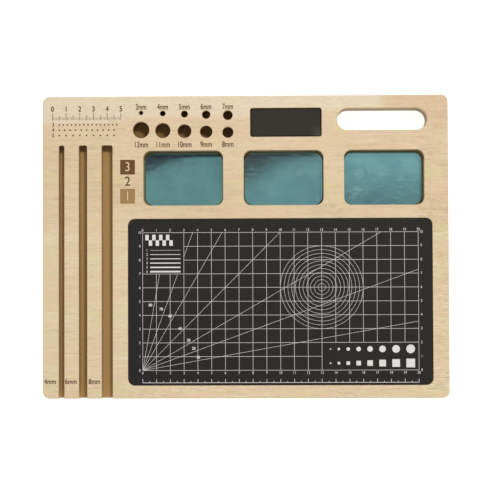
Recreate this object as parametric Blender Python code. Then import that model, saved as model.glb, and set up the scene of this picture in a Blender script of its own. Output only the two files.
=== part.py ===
"""Craft work board: an edge-glued wooden panel with a cutting mat, three plated wells,
a magnet block, a carrying slot, three long tool slots and ten graded tool holes.

Frame: metres, +X to the right, +Y to the back, +Z up. The origin is the centre of the underside.
The panel is as long and as wide as its rows of features need, so each size below can be
changed by itself and the rest makes room for it.
"""

from math import cos, hypot, pi, sin

import bmesh
import bpy

MM = 0.001

# The wooden panel.
BOARD_THICKNESS = 18.0 * MM
BOARD_CORNER_RADIUS = 5.0 * MM
BOARD_EDGE_ROUND = 1.0 * MM
BACK_PLANK_WIDTH = 100.0 * MM  # From the back edge to the glue line.

# The cutting mat and its recess.
MAT_LENGTH = 220.0 * MM
MAT_WIDTH = 120.0 * MM
MAT_THICKNESS = 3.0 * MM
MAT_CORNER_RADIUS = 4.5 * MM
MAT_CLEARANCE = 0.5 * MM
MAT_SETBACK = 0.1 * MM  # How far the mat's face lies below the wood.
MAT_FRONT_MARGIN = 9.4 * MM
MAT_RIGHT_MARGIN = 11.8 * MM
MAT_SLOT_LAND = 11.2 * MM  # Wood between the mat and the widest slot.

# The three wells, in a row behind the mat, and what floors them.
WELL_LENGTH = 58.0 * MM
WELL_WIDTH = 40.0 * MM
WELL_CORNER_RADIUS = 5.5 * MM
WELL_DEPTH = 12.0 * MM  # Down to the film that covers the plate.
WELL_GAP = 15.0 * MM
WELL_RIGHT_MARGIN = 17.5 * MM
WELL_MAT_LAND = 9.6 * MM
WELL_NAMES = ("left", "middle", "right")
PLATE_THICKNESS = 0.8 * MM
PLATE_CLEARANCE = 0.3 * MM
FILM_THICKNESS = 0.1 * MM

# The magnet block and its pocket.
MAGNET_LENGTH = 50.7 * MM
MAGNET_WIDTH = 19.8 * MM
MAGNET_THICKNESS = 5.0 * MM
MAGNET_CORNER_RADIUS = 1.0 * MM
MAGNET_CLEARANCE = 0.6 * MM
MAGNET_SETBACK = 1.8 * MM
MAGNET_BACK_MARGIN = 9.2 * MM
MAGNET_WELL_LAND = 9.8 * MM

# Double-sided tape under every inlaid piece.
TAPE_THICKNESS = 0.2 * MM
TAPE_INSET = 1.5 * MM

# The carrying slot, which goes right through.
HANDLE_LENGTH = 65.2 * MM
HANDLE_WIDTH = 15.8 * MM
HANDLE_RIGHT_MARGIN = 15.3 * MM
HANDLE_BACK_MARGIN = 9.8 * MM
HANDLE_WELL_LAND = 12.0 * MM
HANDLE_MAGNET_LAND = 11.2 * MM

# The long tool slots, open at the front edge, from the left edge inwards.
SLOT_WIDTHS = (4.0 * MM, 6.0 * MM, 8.0 * MM)
SLOT_LENGTH = 184.2 * MM
SLOT_DEPTH = 10.0 * MM
SLOT_CORNER_RADIUS = 1.5 * MM
SLOT_EDGE_LAND = 11.8 * MM
SLOT_GAP = 10.6 * MM

# The tool holes, from left to right. A hole of each row makes a column with one of the other.
BACK_ROW_DIAMETERS = (3.0 * MM, 4.0 * MM, 5.0 * MM, 6.0 * MM, 7.0 * MM)
FRONT_ROW_DIAMETERS = (12.0 * MM, 11.0 * MM, 10.0 * MM, 9.0 * MM, 8.0 * MM)
HOLE_DEPTH = 14.0 * MM
HOLE_PITCH = 15.8 * MM
HOLE_ROW_GAP = 5.0 * MM  # Wood between the two rows, in the fullest column.
HOLE_BACK_MARGIN = 10.8 * MM
HOLE_WELL_LAND = 9.2 * MM
HOLE_MAGNET_LAND = 12.3 * MM
HOLE_SLOT_LAND = 12.0 * MM  # The least wood between the holes and the widest slot.

# How finely round shapes are divided, and how far a cutter runs past the face that it opens.
CORNER_STEPS = 6
HOLE_SIDES = 32
EDGE_STEPS = 2
CUTTER_OVERRUN = 5.0 * MM
SAME_POINT = 0.001 * MM

# The outer sizes of each pocket and block of holes.
MAT_RECESS_LENGTH = MAT_LENGTH + 2 * MAT_CLEARANCE
MAT_RECESS_WIDTH = MAT_WIDTH + 2 * MAT_CLEARANCE
MAGNET_POCKET_LENGTH = MAGNET_LENGTH + 2 * MAGNET_CLEARANCE
MAGNET_POCKET_WIDTH = MAGNET_WIDTH + 2 * MAGNET_CLEARANCE
WELL_ROW_LENGTH = len(WELL_NAMES) * WELL_LENGTH + (len(WELL_NAMES) - 1) * WELL_GAP
HOLE_COLUMNS = tuple(zip(BACK_ROW_DIAMETERS, FRONT_ROW_DIAMETERS))
HOLE_BLOCK_WIDTH = max(back + front for back, front in HOLE_COLUMNS) + HOLE_ROW_GAP
HOLE_BLOCK_LEFT_RADIUS = max(HOLE_COLUMNS[0]) / 2
HOLE_BLOCK_RIGHT_RADIUS = max(HOLE_COLUMNS[-1]) / 2
HOLE_BLOCK_LENGTH = (
    HOLE_BLOCK_LEFT_RADIUS + (len(HOLE_COLUMNS) - 1) * HOLE_PITCH + HOLE_BLOCK_RIGHT_RADIUS
)

# The panel is as long as the slots and the longest of the three rows beside them.
SLOT_ZONE = SLOT_EDGE_LAND + sum(SLOT_WIDTHS) + (len(SLOT_WIDTHS) - 1) * SLOT_GAP
BOARD_LENGTH = SLOT_ZONE + max(
    MAT_SLOT_LAND + MAT_RECESS_LENGTH + MAT_RIGHT_MARGIN,
    MAT_SLOT_LAND + WELL_ROW_LENGTH + WELL_RIGHT_MARGIN,
    HOLE_SLOT_LAND + HOLE_BLOCK_LENGTH + HOLE_MAGNET_LAND + MAGNET_POCKET_LENGTH
    + HANDLE_MAGNET_LAND + HANDLE_LENGTH + HANDLE_RIGHT_MARGIN,
)
# It is as wide as the mat, the wells and the widest block of the back row.
BOARD_WIDTH = MAT_FRONT_MARGIN + MAT_RECESS_WIDTH + WELL_MAT_LAND + WELL_WIDTH + max(
    MAGNET_WELL_LAND + MAGNET_POCKET_WIDTH + MAGNET_BACK_MARGIN,
    HANDLE_WELL_LAND + HANDLE_WIDTH + HANDLE_BACK_MARGIN,
    HOLE_WELL_LAND + HOLE_BLOCK_WIDTH + HOLE_BACK_MARGIN,
)

# Where things lie. The pockets are placed from the right, the front and the back edges.
LEFT, RIGHT = -BOARD_LENGTH / 2, BOARD_LENGTH / 2
FRONT, BACK = -BOARD_WIDTH / 2, BOARD_WIDTH / 2
UNDERSIDE, TOP = 0.0, BOARD_THICKNESS
GLUE_LINE = BACK - BACK_PLANK_WIDTH
MAT_CENTRE = (
    RIGHT - MAT_RIGHT_MARGIN - MAT_RECESS_LENGTH / 2,
    FRONT + MAT_FRONT_MARGIN + MAT_RECESS_WIDTH / 2,
)
WELL_ROW_Y = FRONT + MAT_FRONT_MARGIN + MAT_RECESS_WIDTH + WELL_MAT_LAND + WELL_WIDTH / 2
WELL_ROW_LEFT = RIGHT - WELL_RIGHT_MARGIN - WELL_ROW_LENGTH
WELL_CENTRES = tuple(
    (WELL_ROW_LEFT + WELL_LENGTH / 2 + index * (WELL_LENGTH + WELL_GAP), WELL_ROW_Y)
    for index in range(len(WELL_NAMES))
)
HANDLE_CENTRE = (
    RIGHT - HANDLE_RIGHT_MARGIN - HANDLE_LENGTH / 2,
    BACK - HANDLE_BACK_MARGIN - HANDLE_WIDTH / 2,
)
MAGNET_CENTRE = (
    HANDLE_CENTRE[0] - HANDLE_LENGTH / 2 - HANDLE_MAGNET_LAND - MAGNET_POCKET_LENGTH / 2,
    BACK - MAGNET_BACK_MARGIN - MAGNET_POCKET_WIDTH / 2,
)
HOLE_LAST_COLUMN_X = (
    MAGNET_CENTRE[0] - MAGNET_POCKET_LENGTH / 2 - HOLE_MAGNET_LAND - HOLE_BLOCK_RIGHT_RADIUS
)

# The heights of each inlay's layers, from its tape up.
MAT_TOP = TOP - MAT_SETBACK
MAT_BOTTOM = MAT_TOP - MAT_THICKNESS
MAT_FLOOR = MAT_BOTTOM - TAPE_THICKNESS
FILM_TOP = TOP - WELL_DEPTH
PLATE_TOP = FILM_TOP - FILM_THICKNESS
PLATE_BOTTOM = PLATE_TOP - PLATE_THICKNESS
WELL_FLOOR = PLATE_BOTTOM - TAPE_THICKNESS
MAGNET_TOP = TOP - MAGNET_SETBACK
MAGNET_BOTTOM = MAGNET_TOP - MAGNET_THICKNESS
MAGNET_FLOOR = MAGNET_BOTTOM - TAPE_THICKNESS


def rounded_rectangle(length, width, radius):
    """The points of a rectangle with round corners about the origin, anticlockwise."""
    radius = min(radius, length / 2, width / 2)
    points = []
    for quarter, (side_x, side_y) in enumerate(((1, 1), (-1, 1), (-1, -1), (1, -1))):
        for step in range(CORNER_STEPS + 1):
            angle = (quarter + step / CORNER_STEPS) * pi / 2
            point = (
                side_x * (length / 2 - radius) + radius * cos(angle),
                side_y * (width / 2 - radius) + radius * sin(angle),
            )
            if not points or hypot(point[0] - points[-1][0], point[1] - points[-1][1]) > SAME_POINT:
                points.append(point)
    if hypot(points[0][0] - points[-1][0], points[0][1] - points[-1][1]) < SAME_POINT:
        points.pop()
    return points


def circle(diameter):
    """The points of a circle about the origin, anticlockwise."""
    angles = [2 * pi * side / HOLE_SIDES for side in range(HOLE_SIDES)]
    return [(diameter / 2 * cos(angle), diameter / 2 * sin(angle)) for angle in angles]


def prism(outline, low, high):
    """A bmesh that fills the outline between two heights."""
    mesh = bmesh.new()
    base = mesh.faces.new([mesh.verts.new((x, y, low)) for x, y in outline])
    raised = bmesh.ops.extrude_face_region(mesh, geom=[base])["geom"]
    for vertex in raised:
        if isinstance(vertex, bmesh.types.BMVert):
            vertex.co.z = high
    bmesh.ops.recalc_face_normals(mesh, faces=mesh.faces)
    return mesh


def placed(name, mesh, centre, collection, parent=None):
    """An object made of a bmesh, moved sideways to its centre.

    Heights stay in the mesh, so that two faces which touch hold the same number."""
    data = bpy.data.meshes.new(name)
    mesh.to_mesh(data)
    mesh.free()
    thing = bpy.data.objects.new(name, data)
    thing.location = (centre[0], centre[1], 0.0)
    thing.parent = parent
    collection.objects.link(thing)
    return thing


def finish(name, colour, roughness, metallic=0.0):
    """A material of one colour."""
    material = bpy.data.materials.new(name)
    material.use_nodes = True
    shader = material.node_tree.nodes["Principled BSDF"]
    shader.inputs["Base Color"].default_value = (*colour, 1.0)
    shader.inputs["Roughness"].default_value = roughness
    shader.inputs["Metallic"].default_value = metallic
    return material


def add_cutter(name, outline, centre, low, cutters):
    """A hidden prism that opens the panel's top down to a height."""
    cutter = placed(f"cutter_{name}", prism(outline, low, TOP + CUTTER_OVERRUN), centre, cutters)
    cutter.hide_render = True
    cutter.display_type = "WIRE"


def add_slot_cutters(cutters):
    """The long tool slots. Each runs out past the front edge."""
    left_side = LEFT + SLOT_EDGE_LAND
    length = SLOT_LENGTH + CUTTER_OVERRUN
    for width in SLOT_WIDTHS:
        centre = (left_side + width / 2, FRONT + SLOT_LENGTH - length / 2)
        outline = rounded_rectangle(width, length, SLOT_CORNER_RADIUS)
        add_cutter(f"slot_{width / MM:.0f}", outline, centre, TOP - SLOT_DEPTH, cutters)
        left_side += width + SLOT_GAP


def add_hole_cutters(cutters):
    """The tool holes. The back row lines up at its back, the front row at its front."""
    back_line = BACK - HOLE_BACK_MARGIN
    front_line = back_line - HOLE_BLOCK_WIDTH
    for index, (back_diameter, front_diameter) in enumerate(HOLE_COLUMNS):
        x = HOLE_LAST_COLUMN_X - (len(HOLE_COLUMNS) - 1 - index) * HOLE_PITCH
        for row, diameter, y in (
            ("back", back_diameter, back_line - back_diameter / 2),
            ("front", front_diameter, front_line + front_diameter / 2),
        ):
            name = f"{row}_hole_{index + 1}"
            add_cutter(name, circle(diameter), (x, y), TOP - HOLE_DEPTH, cutters)


def add_pocket_cutters(cutters):
    """The mat's recess, the wells, the magnet's pocket and the carrying slot."""
    recess = rounded_rectangle(
        MAT_RECESS_LENGTH, MAT_RECESS_WIDTH, MAT_CORNER_RADIUS + MAT_CLEARANCE
    )
    add_cutter("mat_recess", recess, MAT_CENTRE, MAT_FLOOR, cutters)
    well = rounded_rectangle(WELL_LENGTH, WELL_WIDTH, WELL_CORNER_RADIUS)
    for name, centre in zip(WELL_NAMES, WELL_CENTRES):
        add_cutter(f"well_{name}", well, centre, WELL_FLOOR, cutters)
    pocket = rounded_rectangle(
        MAGNET_POCKET_LENGTH, MAGNET_POCKET_WIDTH, MAGNET_CORNER_RADIUS + MAGNET_CLEARANCE
    )
    add_cutter("magnet_pocket", pocket, MAGNET_CENTRE, MAGNET_FLOOR, cutters)
    handle = rounded_rectangle(HANDLE_LENGTH, HANDLE_WIDTH, HANDLE_WIDTH / 2)
    add_cutter("handle", handle, HANDLE_CENTRE, UNDERSIDE - CUTTER_OVERRUN, cutters)


def board_blank():
    """The uncut panel, with its rim softened above and below."""
    outline = rounded_rectangle(BOARD_LENGTH, BOARD_WIDTH, BOARD_CORNER_RADIUS)
    mesh = prism(outline, UNDERSIDE, TOP)
    rim = [edge for edge in mesh.edges if edge.verts[0].co.z == edge.verts[1].co.z]
    bmesh.ops.bevel(
        mesh, geom=rim, offset=BOARD_EDGE_ROUND, segments=EDGE_STEPS, profile=0.5, affect="EDGES"
    )
    return mesh


def add_plank(name, away_from_glue, material, cutters, collection, parent):
    """One plank: the blank on one side of the glue line, less everything that is cut into it."""
    mesh = board_blank()
    halves = bmesh.ops.bisect_plane(
        mesh,
        geom=mesh.verts[:] + mesh.edges[:] + mesh.faces[:],
        plane_co=(0.0, GLUE_LINE, 0.0),
        plane_no=(0.0, -away_from_glue, 0.0),
        clear_outer=True,
    )
    cut = halves["geom_cut"]
    for vertex in cut:
        if isinstance(vertex, bmesh.types.BMVert):
            vertex.co.y = GLUE_LINE
    bmesh.ops.edgeloop_fill(mesh, edges=[e for e in cut if isinstance(e, bmesh.types.BMEdge)])
    bmesh.ops.recalc_face_normals(mesh, faces=mesh.faces)
    plank = placed(name, mesh, (0.0, 0.0), collection, parent)
    plank.data.materials.append(material)
    cuts = plank.modifiers.new("Cuts", "BOOLEAN")
    cuts.operation = "DIFFERENCE"
    cuts.solver = "EXACT"
    cuts.operand_type = "COLLECTION"
    cuts.collection = cutters


def add_inlay(name, outline, centre, low, high, material, collection, parent):
    """A flat piece let into the panel."""
    inlay = placed(name, prism(outline, low, high), centre, collection, parent)
    inlay.data.materials.append(material)


def add_mat(tape, collection, parent):
    """The cutting mat on its sheet of tape."""
    rubber = finish("mat_vinyl", (0.027, 0.025, 0.022), 0.7)
    mat = rounded_rectangle(MAT_LENGTH, MAT_WIDTH, MAT_CORNER_RADIUS)
    sheet = rounded_rectangle(
        MAT_LENGTH - 2 * TAPE_INSET, MAT_WIDTH - 2 * TAPE_INSET, MAT_CORNER_RADIUS
    )
    add_inlay("cutting_mat", mat, MAT_CENTRE, MAT_BOTTOM, MAT_TOP, rubber, collection, parent)
    add_inlay("mat_tape", sheet, MAT_CENTRE, MAT_FLOOR, MAT_BOTTOM, tape, collection, parent)


def add_magnet(tape, collection, parent):
    """The magnet block on its piece of tape."""
    ferrite = finish("ferrite", (0.042, 0.034, 0.028), 0.8)
    block = rounded_rectangle(MAGNET_LENGTH, MAGNET_WIDTH, MAGNET_CORNER_RADIUS)
    sheet = rounded_rectangle(
        MAGNET_LENGTH - 2 * TAPE_INSET, MAGNET_WIDTH - 2 * TAPE_INSET, MAGNET_CORNER_RADIUS
    )
    add_inlay(
        "magnet_block", block, MAGNET_CENTRE, MAGNET_BOTTOM, MAGNET_TOP, ferrite, collection, parent
    )
    add_inlay(
        "magnet_tape", sheet, MAGNET_CENTRE, MAGNET_FLOOR, MAGNET_BOTTOM, tape, collection, parent
    )


def add_well_floors(tape, collection, parent):
    """Each well's bright plate, with tape below it and a protective film on it."""
    steel = finish("bright_steel", (0.62, 0.63, 0.64), 0.15, metallic=1.0)
    film = finish("teal_film", (0.105, 0.225, 0.225), 0.12)
    length = WELL_LENGTH - 2 * PLATE_CLEARANCE
    width = WELL_WIDTH - 2 * PLATE_CLEARANCE
    radius = WELL_CORNER_RADIUS - PLATE_CLEARANCE
    plate = rounded_rectangle(length, width, radius)
    sheet = rounded_rectangle(length - 2 * TAPE_INSET, width - 2 * TAPE_INSET, radius)
    for name, centre in zip(WELL_NAMES, WELL_CENTRES):
        for kind, outline, low, high, material in (
            ("tape", sheet, WELL_FLOOR, PLATE_BOTTOM, tape),
            ("plate", plate, PLATE_BOTTOM, PLATE_TOP, steel),
            ("film", plate, PLATE_TOP, FILM_TOP, film),
        ):
            add_inlay(
                f"well_{kind}_{name}", outline, centre, low, high, material, collection, parent
            )


def main():
    for thing in list(bpy.data.objects):
        bpy.data.objects.remove(thing)
    scene = bpy.context.scene.collection
    cutters = bpy.data.collections.new("cutters")
    scene.children.link(cutters)
    board = bpy.data.objects.new("craft_work_board", None)
    scene.objects.link(board)

    add_slot_cutters(cutters)
    add_hole_cutters(cutters)
    add_pocket_cutters(cutters)
    back_wood = finish("back_plank_wood", (0.70, 0.54, 0.345), 0.55)
    front_wood = finish("front_plank_wood", (0.735, 0.60, 0.40), 0.55)
    add_plank("back_plank", 1.0, back_wood, cutters, scene, board)
    add_plank("front_plank", -1.0, front_wood, cutters, scene, board)

    tape = finish("adhesive_tape", (0.80, 0.79, 0.76), 0.6)
    add_mat(tape, scene, board)
    add_magnet(tape, scene, board)
    add_well_floors(tape, scene, board)


main()
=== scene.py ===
"""The looks of a wooden craft work board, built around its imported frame.

Everything is in metres in the frame's own axes: +X to the right, +Y to the back, +Z up.
"""

from math import cos, pi, radians, sin, tan

import bmesh
import bpy
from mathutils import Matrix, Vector, noise


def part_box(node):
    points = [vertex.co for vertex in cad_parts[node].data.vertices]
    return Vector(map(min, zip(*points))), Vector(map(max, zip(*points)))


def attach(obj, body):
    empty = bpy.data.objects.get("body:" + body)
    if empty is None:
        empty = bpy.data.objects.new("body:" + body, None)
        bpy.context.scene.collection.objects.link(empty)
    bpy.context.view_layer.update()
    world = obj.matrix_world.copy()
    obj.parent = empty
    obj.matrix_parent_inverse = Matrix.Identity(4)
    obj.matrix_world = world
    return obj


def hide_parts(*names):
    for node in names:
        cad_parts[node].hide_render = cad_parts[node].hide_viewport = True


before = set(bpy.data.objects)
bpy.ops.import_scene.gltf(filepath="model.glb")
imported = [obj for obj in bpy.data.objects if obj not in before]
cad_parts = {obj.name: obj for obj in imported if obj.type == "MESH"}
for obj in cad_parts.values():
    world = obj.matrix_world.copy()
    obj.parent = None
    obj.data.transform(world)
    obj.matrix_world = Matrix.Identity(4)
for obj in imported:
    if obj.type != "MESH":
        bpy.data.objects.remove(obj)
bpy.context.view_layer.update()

MM = 0.001

# ---- What the frame gives ----

LEFT, FRONT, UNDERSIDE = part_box("front_plank")[0]
RIGHT, BACK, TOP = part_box("back_plank")[1]
GLUE_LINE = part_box("back_plank")[0].y
WELL_NAMES = ("left", "middle", "right")

# ---- The wooden panel's own sizes ----

CORNER_RADIUS = 5.0 * MM
RIM_ROUND = 1.0 * MM
POCKET_EASE = 0.35 * MM  # The sanded roundness of every pocket's rim.
GLUE_GROOVE = 0.12 * MM
CUTTER_OVERRUN = 5.0 * MM
TAPE_THICKNESS = 0.2 * MM

MAT_CLEARANCE = 0.5 * MM
MAT_RECESS_RADIUS = 5.0 * MM
WELL_CLEARANCE = 0.3 * MM
WELL_RADIUS = 5.5 * MM
MAGNET_CLEARANCE = 0.6 * MM
MAGNET_POCKET_RADIUS = 1.6 * MM
MAGNET_RADIUS = 1.0 * MM
MAGNET_EDGE = 0.4 * MM
MAT_EDGE = 0.35 * MM
PLATE_EDGE = 0.1 * MM
PLATE_TAPE_INSET = 1.0 * MM

HANDLE_LENGTH = 65.2 * MM
HANDLE_WIDTH = 15.8 * MM
HANDLE_EASE = 0.8 * MM
HANDLE_CENTRE = (RIGHT - 15.3 * MM - HANDLE_LENGTH / 2, BACK - 9.8 * MM - HANDLE_WIDTH / 2)

SLOT_WIDTHS = (4.0 * MM, 6.0 * MM, 8.0 * MM)
SLOT_EDGE_LAND = 11.8 * MM
SLOT_GAP = 10.6 * MM
SLOT_LENGTH = 184.2 * MM
SLOT_DEPTH = 10.0 * MM
SLOT_END_RADIUS = 1.5 * MM

BACK_ROW_DIAMETERS = (3.0 * MM, 4.0 * MM, 5.0 * MM, 6.0 * MM, 7.0 * MM)
FRONT_ROW_DIAMETERS = (12.0 * MM, 11.0 * MM, 10.0 * MM, 9.0 * MM, 8.0 * MM)
HOLE_PITCH = 15.8 * MM
HOLE_DEPTH = 14.0 * MM
HOLE_MAGNET_LAND = 12.3 * MM  # The wood left between the last large hole and the magnet's pocket.
HOLE_LAST_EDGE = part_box("magnet_block")[0].x - MAGNET_CLEARANCE - HOLE_MAGNET_LAND
HOLE_LAST_X = HOLE_LAST_EDGE - FRONT_ROW_DIAMETERS[-1] / 2
HOLE_FIRST_X = HOLE_LAST_X - (len(BACK_ROW_DIAMETERS) - 1) * HOLE_PITCH
HOLE_BACK_LINE = BACK - 10.8 * MM
HOLE_FRONT_LINE = HOLE_BACK_LINE - 20.0 * MM

ENGRAVING_DEPTH = 0.3 * MM
INSERT_RADIUS = 7.0 * MM  # The plates' corners, rounder than the wells'.
INSERT_SHRINK = 0.5 * MM
FILM_WAVE = 0.0015 * MM
FILM_WAVE_LENGTH = 16.0 * MM
FILM_WAVE_WIDTH = 11.0 * MM
PRESSED_REACH = 3.4 * MM  # The film is pressed down along its back edge.
PRESSED_DEPTH = 0.075 * MM
SHARP_OVER = 35  # Degrees.
FILM_SHARP_OVER = 50
WELD = 0.001 * MM
SEAM = 1e-8

# ---- The wood's growth and tones ----

PITH_DEPTH = 60.0 * MM
RING_PITCH = 3.1 * MM
SAPWOOD_START = 87.4 * MM
SAPWOOD_SLOPE = 0.047


def linear(red, green, blue):
    """A colour given in display values from 0 to 255, as the linear RGBA that sockets take."""
    parts = [value / 255 for value in (red, green, blue)]
    parts = [p / 12.92 if p <= 0.04045 else ((p + 0.055) / 1.055) ** 2.4 for p in parts]
    return (*parts, 1.0)


BACK_PLANK_TONES = (linear(215, 195, 163), linear(190, 164, 127))
FRONT_PLANK_TONES = (linear(220, 204, 171), linear(195, 172, 136))
PINK_WOOD = linear(213, 182, 153)
STRAW_WOOD = linear(205, 191, 143)
PORE_WOOD = linear(150, 120, 82)
END_GRAIN = linear(176, 142, 100)
# Tones that cut wood darkens towards with depth: cutter burn and painted recess shade together.
POCKET_SHADE_TONE = linear(138, 114, 60)
SLOT_BURN_AND_SHADE = linear(172, 136, 81)
PALE_SLOT_BURN_AND_SHADE = linear(190, 155, 101)
# A painted shadow of a slot's end wall on the slot floor.
SLOT_END_SHADOW_TONE = linear(122, 84, 40)
# The holes' depth tone: drill burn and painted shade together.
HOLE_BURN_AND_SHADE = linear(136, 102, 58)

PALE_FILM = linear(168, 205, 206)

# ---- The print on the mat ----

MAT_LOW, MAT_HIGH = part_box("cutting_mat")
CM = 10.0 * MM
GRID_LEFT = MAT_LOW.x + 10.15 * MM
GRID_FRONT = MAT_LOW.y + 10.4 * MM
GRID_COLUMNS = 20
GRID_ROWS = 10
GAUGE_COLUMN = 13  # The dot gauge fills the grid from here to its right edge.
GAUGE_ROWS = 2
KEY_COLUMNS = 3  # The line gauge fills this many columns and rows of the grid's back left corner.
KEY_ROWS = 3
GRID_LINE = 0.245 * MM
RING_LINE = 0.21 * MM
RAY_LINE = 0.23 * MM

# Each pass of ink stands a little prouder than the one before, so that crossings stay clean.
INK_THICKNESS = 0.030 * MM
RAY_INK = 0.016 * MM
RING_INK = 0.020 * MM
COLUMN_INK = 0.024 * MM
ROW_INK = 0.028 * MM
NUMBER_INK = 0.032 * MM

NO_STEP = (0.0, 0.0, 0.0)
NEXT_COLUMN = (CM, 0.0, 0.0)
NEXT_ROW = (0.0, CM, 0.0)


# ---- Node trees in Python ----


class Wire:
    """A node's output, which Python's own operators carry on into Math nodes."""

    def __init__(self, graph, socket):
        self.graph = graph
        self.socket = socket

    def math(self, operation, *values):
        return self.graph.node("ShaderNodeMath", dict(enumerate(values)), operation=operation)

    def __add__(self, other):
        return self.math("ADD", self, other)

    def __sub__(self, other):
        return self.math("SUBTRACT", self, other)

    def __rsub__(self, other):
        return self.math("SUBTRACT", other, self)

    def __mul__(self, other):
        return self.math("MULTIPLY", self, other)

    def __pow__(self, other):
        return self.math("POWER", self, other)

    __radd__ = __add__
    __rmul__ = __mul__

    def absolute(self):
        return self.math("ABSOLUTE", self)

    def sine(self):
        return self.math("SINE", self)

    def smooth(self, low, high):
        """0 below low, 1 above high, and a smooth rise between."""
        sockets = {"Value": self, "From Min": low, "From Max": high}
        return self.graph.node("ShaderNodeMapRange", sockets, interpolation_type="SMOOTHSTEP")


class Graph:
    """A node tree that is written as expressions."""

    def __init__(self, tree):
        self.tree = tree

    def link(self, wire, node, key):
        self.tree.links.new(wire.socket, node.inputs[key])

    def node(self, kind, sockets=None, output=0, **settings):
        """Adds a node with its settings, then its sockets' values or links. Returns one output."""
        node = self.tree.nodes.new(kind)
        for key, value in settings.items():
            setattr(node, key, value)
        for key, value in (sockets or {}).items():
            if isinstance(value, Wire):
                self.link(value, node, key)
            else:
                node.inputs[key].default_value = value
        return Wire(self, node.outputs[output])

    def xyz(self, vector):
        """The three parts of a vector."""
        split = self.node("ShaderNodeSeparateXYZ", {"Vector": vector})
        return [Wire(self, socket) for socket in split.socket.node.outputs]

    def vector(self, x=0.0, y=0.0, z=0.0):
        return self.node("ShaderNodeCombineXYZ", {"X": x, "Y": y, "Z": z})

    def vector_math(self, operation, *values):
        return self.node("ShaderNodeVectorMath", dict(enumerate(values)), operation=operation)


class Finish(Graph):
    """A material around one Principled shader.

    Its place is the piece's own coordinates, in millimetres."""

    def __init__(self, name, **constants):
        self.material = bpy.data.materials.new(name)
        self.material.use_nodes = True
        super().__init__(self.material.node_tree)
        self.shader = self.tree.nodes["Principled BSDF"]
        for socket, value in constants.items():
            self.shader.inputs[socket.replace("_", " ")].default_value = value
        place = self.node("ShaderNodeTexCoord", output="Object")
        self.place = self.vector_math("MULTIPLY", place, (1 / MM, 1 / MM, 1 / MM))

    def facing(self):
        """The three parts of the way that the surface faces."""
        return self.xyz(self.node("ShaderNodeTexCoord", output="Normal"))

    def scaled_place(self, scale):
        return {"Vector": self.vector_math("MULTIPLY", self.place, scale), "Scale": 1.0}

    def noise(self, scale, detail=2.0, roughness=0.5, distortion=0.0):
        """Noise at the place, which is first scaled in X, Y and Z."""
        sockets = self.scaled_place(scale)
        sockets |= {"Detail": detail, "Roughness": roughness, "Distortion": distortion}
        return self.node("ShaderNodeTexNoise", sockets)

    def mix(self, factor, first, second):
        """Two colours mixed."""
        return self.node("ShaderNodeMix", {0: factor, 6: first, 7: second}, 2, data_type="RGBA")

    def feed(self, **sockets):
        """Links the shader's varying sockets, which ends the material. Returns it."""
        for socket, wire in sockets.items():
            self.link(wire, self.shader, socket.replace("_", " "))
        return self.material

    def bump(self, height, strength, distance):
        sockets = {"Strength": strength, "Distance": distance, "Height": height}
        return self.node("ShaderNodeBump", sockets)


# ---- Materials ----


def wood_grain(finish, pale, deep):
    """Pale straight-grained hardwood, with its rings, fibres and pores running along X.

    Returns the colour, the fibres and the pores."""
    x, y, z = finish.xyz(finish.place)
    wander = finish.noise((0.008, 0.02, 0.02), 1.0)
    across = y + (wander - 0.5) * 30.0
    below = z - (TOP - PITH_DEPTH) / MM
    rings = ((across * across + below * below) ** 0.5 * (2 * pi / RING_PITCH * MM)).sine()
    fibres = finish.noise((0.26, 1.25, 1.25), 3.0, 0.6)
    streaks = finish.noise((0.045, 0.42, 0.42), 3.0, 0.55)
    drift = finish.noise((0.006, 0.04, 0.04))
    cells = finish.scaled_place((0.22, 1.6, 1.6))
    pores = finish.node("ShaderNodeTexVoronoi", cells, "Distance", feature="F1")
    flecks = 1.0 - pores.smooth(0.08, 0.22)

    # The grain darkens at the far right, and runs wilder to the right and at the front edge.
    far_right = x.smooth(116.0, 140.0) * y.smooth(-60.0, 10.0)
    wild = x.smooth(106.0, 126.0) + (1.0 - y.smooth(-103.0, -92.0))
    tone = fibres * 0.58 + streaks * 0.34 + rings * 0.03 + drift * 0.35 + far_right * 0.09
    tone = tone + wild * (fibres - 0.5) * 0.5
    colour = finish.mix(tone.smooth(0.38, 0.92), pale, deep)
    tints = (
        (PINK_WOOD, (0.022, 0.09, 0.09), 0.45, 0.70, 0.65),
        (STRAW_WOOD, (0.03, 0.07, 0.10), 0.48, 0.70, 0.65),
        (PINK_WOOD, (0.16, 0.42, 0.42), 0.45, 0.75, 0.60),
        (STRAW_WOOD, (0.19, 0.38, 0.45), 0.45, 0.75, 0.60),
    )
    for tint, scale, low, high, share in tints:
        colour = finish.mix(finish.noise(scale).smooth(low, high) * share, colour, tint)
    hairs = finish.noise((0.05, 2.0, 2.0), 0.0)
    marks = flecks * (0.22 + wild * 0.18) + hairs.smooth(0.68, 0.80) * (0.34 + wild * 0.3)
    colour = finish.mix(marks, colour, PORE_WOOD)
    end_grain = finish.facing()[0].absolute().smooth(0.6, 0.95)
    return finish.mix(end_grain * 0.40, colour, END_GRAIN), fibres, flecks


def finish_wood(finish, colour, fibres, flecks):
    return finish.feed(
        Base_Color=colour,
        Roughness=0.46 + fibres * 0.18,
        Normal=finish.bump(fibres * 0.5 - flecks * 0.8, 0.30, 0.04 * MM),
    )


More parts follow.
